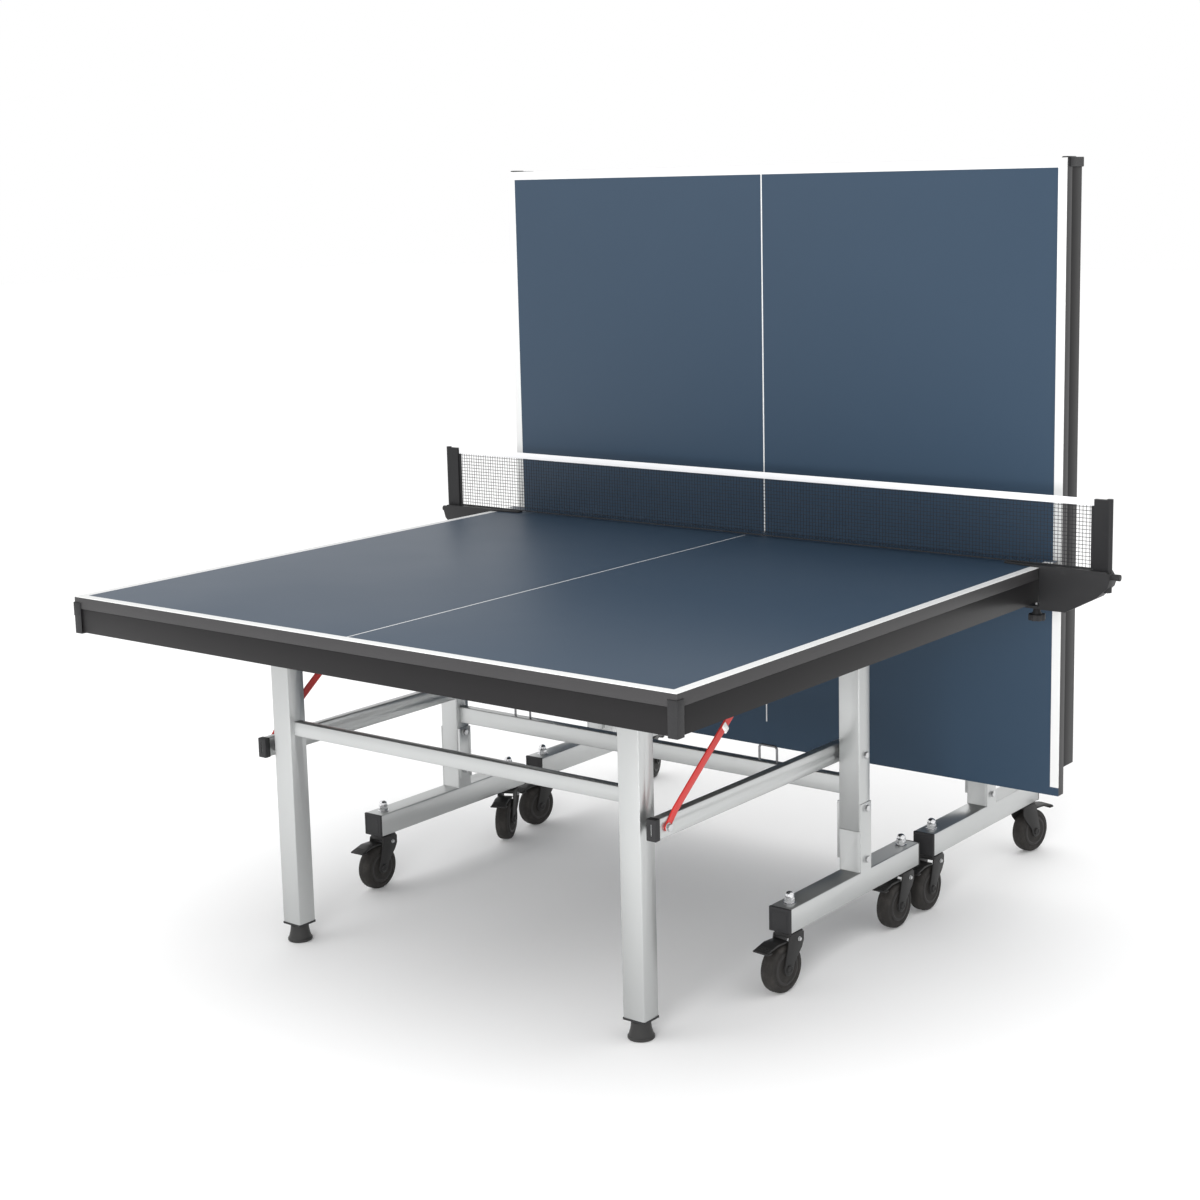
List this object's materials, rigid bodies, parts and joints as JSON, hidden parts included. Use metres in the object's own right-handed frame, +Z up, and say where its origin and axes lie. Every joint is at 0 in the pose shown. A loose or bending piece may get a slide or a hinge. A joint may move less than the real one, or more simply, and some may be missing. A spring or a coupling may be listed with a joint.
{
  "type": "table tennis table",
  "caption": "Folding table-tennis table on two wheeled frames, near half down for play, far half upright, with clamped net and posts.",
  "frame": {"origin": "on the floor, under the centre of the bounding box, the hanging net cord left out", "axes": "+X along the net to the right seen from the near end, +Y from the near half to the far half, +Z up"},
  "size_m": [1.876, 1.7396, 1.608],
  "materials": {
    "table_blue": "matt roller-coated wood board",
    "apron_black": "satin black powder coat",
    "frame_silver": "silver-grey powder coat",
    "moulded_black": "moulded, satin",
    "tread_black": "matt tread on a moulded hub",
    "lever_red": "gloss red paint",
    "net_black": "knotless mesh with a white tape",
    "cord_white": "braided cord"
  },
  "bodies": {
    "near_chassis": {"near_t_frame_left": "frame_silver", "near_t_frame_right": "frame_silver", "near_crossbar": "frame_silver"},
    "near_top": {"near_tabletop": "table_blue", "near_apron_frame": "apron_black", "near_corner_guard_left": "moulded_black", "near_corner_guard_right": "moulded_black", "net_bracket_left": "moulded_black", "net_bracket_right": "moulded_black", "net_post_left": "moulded_black", "net_post_right": "moulded_black", "net_mesh": "net_black", "net_cord": "cord_white"},
    "near_legs": {"near_leg_frame": "frame_silver"},
    "near_link_left": {"near_link_left": "frame_silver"},
    "near_lever_left": {"near_lever_left": "lever_red"},
    "near_foot_left": {"near_foot_left": "moulded_black"},
    "near_link_right": {"near_link_right": "frame_silver"},
    "near_lever_right": {"near_lever_right": "lever_red"},
    "near_foot_right": {"near_foot_right": "moulded_black"},
    "near_fork_outer_left": {"near_fork_outer_left": "moulded_black"},
    "near_wheel_outer_left": {"near_wheel_outer_left": "tread_black"},
    "near_pedal_outer_left": {"near_pedal_outer_left": "moulded_black"},
    "near_fork_outer_right": {"near_fork_outer_right": "moulded_black"},
    "near_wheel_outer_right": {"near_wheel_outer_right": "tread_black"},
    "near_pedal_outer_right": {"near_pedal_outer_right": "moulded_black"},
    "near_fork_inner_left": {"near_fork_inner_left": "moulded_black"},
    "near_wheel_inner_left": {"near_wheel_inner_left": "tread_black"},
    "near_pedal_inner_left": {"near_pedal_inner_left": "moulded_black"},
    "near_fork_inner_right": {"near_fork_inner_right": "moulded_black"},
    "near_wheel_inner_right": {"near_wheel_inner_right": "tread_black"},
    "near_pedal_inner_right": {"near_pedal_inner_right": "moulded_black"},
    "far_chassis": {"far_t_frame_left": "frame_silver", "far_t_frame_right": "frame_silver", "far_crossbar": "frame_silver"},
    "far_top": {"far_tabletop": "table_blue", "far_apron_frame": "apron_black", "far_corner_guard_left": "moulded_black", "far_corner_guard_right": "moulded_black"},
    "far_legs": {"far_leg_frame": "frame_silver"},
    "far_link_left": {"far_link_left": "frame_silver"},
    "far_lever_left": {"far_lever_left": "lever_red"},
    "far_foot_left": {"far_foot_left": "moulded_black"},
    "far_link_right": {"far_link_right": "frame_silver"},
    "far_lever_right": {"far_lever_right": "lever_red"},
    "far_foot_right": {"far_foot_right": "moulded_black"},
    "far_fork_outer_left": {"far_fork_outer_left": "moulded_black"},
    "far_wheel_outer_left": {"far_wheel_outer_left": "tread_black"},
    "far_pedal_outer_left": {"far_pedal_outer_left": "moulded_black"},
    "far_fork_outer_right": {"far_fork_outer_right": "moulded_black"},
    "far_wheel_outer_right": {"far_wheel_outer_right": "tread_black"},
    "far_pedal_outer_right": {"far_pedal_outer_right": "moulded_black"},
    "far_fork_inner_left": {"far_fork_inner_left": "moulded_black"},
    "far_wheel_inner_left": {"far_wheel_inner_left": "tread_black"},
    "far_pedal_inner_left": {"far_pedal_inner_left": "moulded_black"},
    "far_fork_inner_right": {"far_fork_inner_right": "moulded_black"},
    "far_wheel_inner_right": {"far_wheel_inner_right": "tread_black"},
    "far_pedal_inner_right": {"far_pedal_inner_right": "moulded_black"},
    "clamp_left": {"net_clamp_left": "moulded_black"},
    "clamp_right": {"net_clamp_right": "moulded_black"}
  },
  "joints": [
    {"name": "near_fold", "type": "hinge", "parent": "near_chassis", "child": "near_top", "pos_m": [0, 0.02623, 0.712], "axis": [-1, 0, 0], "range_deg": [0, 90]},
    {"name": "near_leg_pivot", "type": "hinge", "parent": "near_top", "child": "near_legs", "pos_m": [0, -0.57677, 0.712], "axis": [-1, 0, 0], "range_deg": [-90, 0]},
    {"name": "near_link_pivot_left", "type": "hinge", "parent": "near_chassis", "child": "near_link_left", "pos_m": [-0.51, 0.02623, 0.418], "axis": [-1, 0, 0], "range_deg": [0, 90]},
    {"name": "near_lever_pivot_left", "type": "hinge", "parent": "near_link_left", "child": "near_lever_left", "pos_m": [-0.522, -0.57677, 0.418], "axis": [-1, 0, 0], "range_deg": [0, 46.01]},
    {"name": "near_foot_thread_left", "type": "slide", "parent": "near_legs", "child": "near_foot_left", "axis": [0, 0, 1], "range_m": [-0.012, 0]},
    {"name": "near_link_pivot_right", "type": "hinge", "parent": "near_chassis", "child": "near_link_right", "pos_m": [0.51, 0.02623, 0.418], "axis": [-1, 0, 0], "range_deg": [0, 90]},
    {"name": "near_lever_pivot_right", "type": "hinge", "parent": "near_link_right", "child": "near_lever_right", "pos_m": [0.522, -0.57677, 0.418], "axis": [-1, 0, 0], "range_deg": [0, 46.01]},
    {"name": "near_foot_thread_right", "type": "slide", "parent": "near_legs", "child": "near_foot_right", "axis": [0, 0, 1], "range_m": [-0.012, 0]},
    {"name": "near_swivel_outer_left", "type": "hinge", "parent": "near_chassis", "child": "near_fork_outer_left", "pos_m": [-0.551, -0.22177, 0.124], "axis": [0, 0, 1], "continuous": true},
    {"name": "near_axle_outer_left", "type": "hinge", "parent": "near_fork_outer_left", "child": "near_wheel_outer_left", "pos_m": [-0.55002, -0.24976, 0.05], "axis": [0.9994, 0.0349, 0], "continuous": true},
    {"name": "near_brake_outer_left", "type": "hinge", "parent": "near_fork_outer_left", "child": "near_pedal_outer_left", "pos_m": [-0.54995, -0.25175, 0.106], "axis": [0.9994, 0.0349, 0], "range_deg": [0, 8]},
    {"name": "near_swivel_outer_right", "type": "hinge", "parent": "near_chassis", "child": "near_fork_outer_right", "pos_m": [0.551, -0.22177, 0.124], "axis": [0, 0, 1], "continuous": true},
    {"name": "near_axle_outer_right", "type": "hinge", "parent": "near_fork_outer_right", "child": "near_wheel_outer_right", "pos_m": [0.54856, -0.24966, 0.05], "axis": [0.9962, -0.0872, 0], "continuous": true},
    {"name": "near_brake_outer_right", "type": "hinge", "parent": "near_fork_outer_right", "child": "near_pedal_outer_right", "pos_m": [0.54839, -0.25166, 0.106], "axis": [0.9962, -0.0872, 0], "range_deg": [0, 8]},
    {"name": "near_swivel_inner_left", "type": "hinge", "parent": "near_chassis", "child": "near_fork_inner_left", "pos_m": [-0.551, 0.21123, 0.124], "axis": [0, 0, 1], "range_deg": [-114, 66]},
    {"name": "near_axle_inner_left", "type": "hinge", "parent": "near_fork_inner_left", "child": "near_wheel_inner_left", "pos_m": [-0.53961, 0.18565, 0.05], "axis": [0.9135, 0.4067, 0], "continuous": true},
    {"name": "near_brake_inner_left", "type": "hinge", "parent": "near_fork_inner_left", "child": "near_pedal_inner_left", "pos_m": [-0.5388, 0.18382, 0.106], "axis": [0.9135, 0.4067, 0], "range_deg": [0, 8]},
    {"name": "near_swivel_inner_right", "type": "hinge", "parent": "near_chassis", "child": "near_fork_inner_right", "pos_m": [0.551, 0.21123, 0.124], "axis": [0, 0, 1], "range_deg": [-88, 92]},
    {"name": "near_axle_inner_right", "type": "hinge", "parent": "near_fork_inner_right", "child": "near_wheel_inner_right", "pos_m": [0.55002, 0.18324, 0.05], "axis": [0.9994, -0.0349, 0], "continuous": true},
    {"name": "near_brake_inner_right", "type": "hinge", "parent": "near_fork_inner_right", "child": "near_pedal_inner_right", "pos_m": [0.54995, 0.18125, 0.106], "axis": [0.9994, -0.0349, 0], "range_deg": [0, 8]},
    {"name": "far_roll", "type": "slide", "parent": "near_chassis", "child": "far_chassis", "axis": [0, 1, 0], "range_m": [0, 0.4281]},
    {"name": "far_fold", "type": "hinge", "parent": "far_chassis", "child": "far_top", "pos_m": [0, 0.57223, 0.712], "axis": [-1, 0, 0], "range_deg": [0, 90]},
    {"name": "far_leg_pivot", "type": "hinge", "parent": "far_top", "child": "far_legs", "pos_m": [0, 0.57223, 1.315], "axis": [-1, 0, 0], "range_deg": [-90, 0]},
    {"name": "far_link_pivot_left", "type": "hinge", "parent": "far_chassis", "child": "far_link_left", "pos_m": [-0.51, 0.57223, 0.418], "axis": [-1, 0, 0], "range_deg": [0, 90]},
    {"name": "far_lever_pivot_left", "type": "hinge", "parent": "far_link_left", "child": "far_lever_left", "pos_m": [-0.522, 0.57223, 1.021], "axis": [-1, 0, 0], "range_deg": [0, 46.01]},
    {"name": "far_foot_thread_left", "type": "slide", "parent": "far_legs", "child": "far_foot_left", "axis": [0, 0, 1], "range_m": [-0.012, 0]},
    {"name": "far_link_pivot_right", "type": "hinge", "parent": "far_chassis", "child": "far_link_right", "pos_m": [0.51, 0.57223, 0.418], "axis": [-1, 0, 0], "range_deg": [0, 90]},
    {"name": "far_lever_pivot_right", "type": "hinge", "parent": "far_link_right", "child": "far_lever_right", "pos_m": [0.522, 0.57223, 1.021], "axis": [-1, 0, 0], "range_deg": [0, 46.01]},
    {"name": "far_foot_thread_right", "type": "slide", "parent": "far_legs", "child": "far_foot_right", "axis": [0, 0, 1], "range_m": [-0.012, 0]},
    {"name": "far_swivel_outer_left", "type": "hinge", "parent": "far_chassis", "child": "far_fork_outer_left", "pos_m": [-0.551, 0.77523, 0.124], "axis": [0, 0, 1], "continuous": true},
    {"name": "far_axle_outer_left", "type": "hinge", "parent": "far_fork_outer_left", "child": "far_wheel_outer_left", "pos_m": [-0.56058, 0.80154, 0.05], "axis": [-0.9397, -0.342, 0], "continuous": true},
    {"name": "far_brake_outer_left", "type": "hinge", "parent": "far_fork_outer_left", "child": "far_pedal_outer_left", "pos_m": [-0.56126, 0.80342, 0.106], "axis": [-0.9397, -0.342, 0], "range_deg": [0, 8]},
    {"name": "far_swivel_outer_right", "type": "hinge", "parent": "far_chassis", "child": "far_fork_outer_right", "pos_m": [0.551, 0.77523, 0.124], "axis": [0, 0, 1], "continuous": true},
    {"name": "far_axle_outer_right", "type": "hinge", "parent": "far_fork_outer_right", "child": "far_wheel_outer_right", "pos_m": [0.55682, 0.80262, 0.05], "axis": [-0.9781, 0.2079, 0], "continuous": true},
    {"name": "far_brake_outer_right", "type": "hinge", "parent": "far_fork_outer_right", "child": "far_pedal_outer_right", "pos_m": [0.55724, 0.80457, 0.106], "axis": [-0.9781, 0.2079, 0], "range_deg": [0, 8]},
    {"name": "far_swivel_inner_left", "type": "hinge", "parent": "far_chassis", "child": "far_fork_inner_left", "pos_m": [-0.551, 0.34223, 0.124], "axis": [0, 0, 1], "continuous": true},
    {"name": "far_axle_inner_left", "type": "hinge", "parent": "far_fork_inner_left", "child": "far_wheel_inner_left", "pos_m": [-0.55344, 0.31433, 0.05], "axis": [0.9962, -0.0872, 0], "continuous": true},
    {"name": "far_brake_inner_left", "type": "hinge", "parent": "far_fork_inner_left", "child": "far_pedal_inner_left", "pos_m": [-0.55361, 0.31234, 0.106], "axis": [0.9962, -0.0872, 0], "range_deg": [0, 8]},
    {"name": "far_swivel_inner_right", "type": "hinge", "parent": "far_chassis", "child": "far_fork_inner_right", "pos_m": [0.551, 0.34223, 0.124], "axis": [0, 0, 1], "continuous": true},
    {"name": "far_axle_inner_right", "type": "hinge", "parent": "far_fork_inner_right", "child": "far_wheel_inner_right", "pos_m": [0.551, 0.31423, 0.05], "axis": [1, 0, 0], "continuous": true},
    {"name": "far_brake_inner_right", "type": "hinge", "parent": "far_fork_inner_right", "child": "far_pedal_inner_right", "pos_m": [0.551, 0.31223, 0.106], "axis": [1, 0, 0], "range_deg": [0, 8]},
    {"name": "clamp_thread_left", "type": "slide", "parent": "near_top", "child": "clamp_left", "axis": [0, 0, -1], "range_m": [0, 0.008]},
    {"name": "clamp_thread_right", "type": "slide", "parent": "near_top", "child": "clamp_right", "axis": [0, 0, -1], "range_m": [0, 0.008]}
  ],
  "couplings": [
    {"joint": "near_leg_pivot", "follows": "near_fold", "ratio": -1},
    {"joint": "near_link_pivot_left", "follows": "near_fold", "ratio": 1},
    {"joint": "near_lever_pivot_left", "follows": "near_fold", "ratio": 0.51111},
    {"joint": "near_link_pivot_right", "follows": "near_fold", "ratio": 1},
    {"joint": "near_lever_pivot_right", "follows": "near_fold", "ratio": 0.51111},
    {"joint": "far_roll", "follows": "far_fold", "m_per_rad": 0.27247},
    {"joint": "far_leg_pivot", "follows": "far_fold", "ratio": -1},
    {"joint": "far_link_pivot_left", "follows": "far_fold", "ratio": 1},
    {"joint": "far_lever_pivot_left", "follows": "far_fold", "ratio": 0.51111},
    {"joint": "far_link_pivot_right", "follows": "far_fold", "ratio": 1},
    {"joint": "far_lever_pivot_right", "follows": "far_fold", "ratio": 0.51111}
  ]
}
